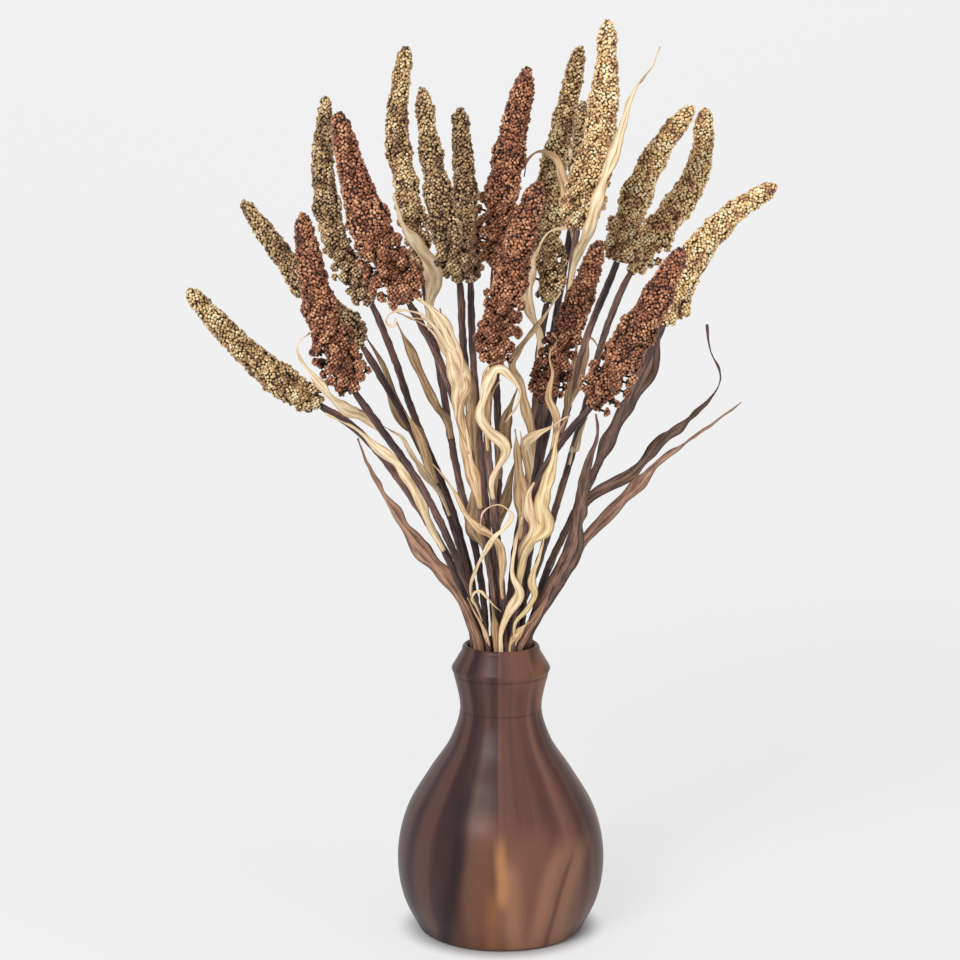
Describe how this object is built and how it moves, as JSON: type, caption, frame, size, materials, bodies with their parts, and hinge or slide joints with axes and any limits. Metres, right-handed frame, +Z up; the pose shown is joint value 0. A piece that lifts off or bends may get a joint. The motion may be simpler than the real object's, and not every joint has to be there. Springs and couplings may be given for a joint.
{
  "type": "foxtail millet heads in a vase",
  "caption": "Dry millet heads of packed grain on wrapped stems, with papery husks and strap leaves, standing in a turned wooden vase.",
  "frame": {"origin": "centre of the flat underside of the vase, on the surface that it stands on", "axes": "+Z up along the vase's turned axis, -Y towards the front, +X to the right as seen from the front"},
  "size_m": [0.4886, 0.3078, 0.78],
  "materials": {
    "walnut": "turned dark walnut with a satin oil finish and a pale sapwood streak",
    "russet_grain": "dry matt red-brown grain, packed in clusters",
    "golden_grain": "dry matt golden grain with brown specks",
    "tan_grain": "dry matt tan grain",
    "olive_grain": "dry matt olive-brown grain",
    "wrapped_stem": "stalk wrapped in dark brown paper, matt and creased",
    "husk": "dry papery straw-coloured husk with fine lengthwise veins",
    "brown_leaf": "dry brown strap leaf with lengthwise folds"
  },
  "bodies": {
    "root": {"vase": "walnut", "head_01": "tan_grain", "stem_01": "wrapped_stem", "head_02": "olive_grain", "stem_02": "wrapped_stem", "head_03": "russet_grain", "stem_03": "wrapped_stem", "head_04": "olive_grain", "stem_04": "wrapped_stem", "head_05": "russet_grain", "stem_05": "wrapped_stem", "head_06": "tan_grain", "stem_06": "wrapped_stem", "head_07": "olive_grain", "stem_07": "wrapped_stem", "head_08": "olive_grain", "stem_08": "wrapped_stem", "head_09": "russet_grain", "stem_09": "wrapped_stem", "head_10": "russet_grain", "stem_10": "wrapped_stem", "head_11": "tan_grain", "stem_11": "wrapped_stem", "head_12": "olive_grain", "stem_12": "wrapped_stem", "head_13": "golden_grain", "stem_13": "wrapped_stem", "head_14": "golden_grain", "stem_14": "wrapped_stem", "head_15": "golden_grain", "stem_15": "wrapped_stem", "head_16": "golden_grain", "stem_16": "wrapped_stem", "head_17": "russet_grain", "stem_17": "wrapped_stem", "head_18": "russet_grain", "stem_18": "wrapped_stem", "husk_01": "husk", "husk_02": "husk", "husk_03": "husk", "husk_04": "husk", "husk_05": "husk", "husk_06": "husk", "husk_07": "husk", "husk_08": "husk", "husk_09": "husk", "husk_10": "husk", "husk_11": "husk", "husk_12": "husk", "husk_13": "husk", "husk_14": "husk", "husk_15": "husk", "husk_16": "husk", "husk_17": "husk", "husk_18": "husk", "leaf_01": "brown_leaf", "leaf_02": "brown_leaf", "leaf_03": "brown_leaf", "leaf_04": "brown_leaf", "leaf_05": "brown_leaf"}
  },
  "joints": []
}
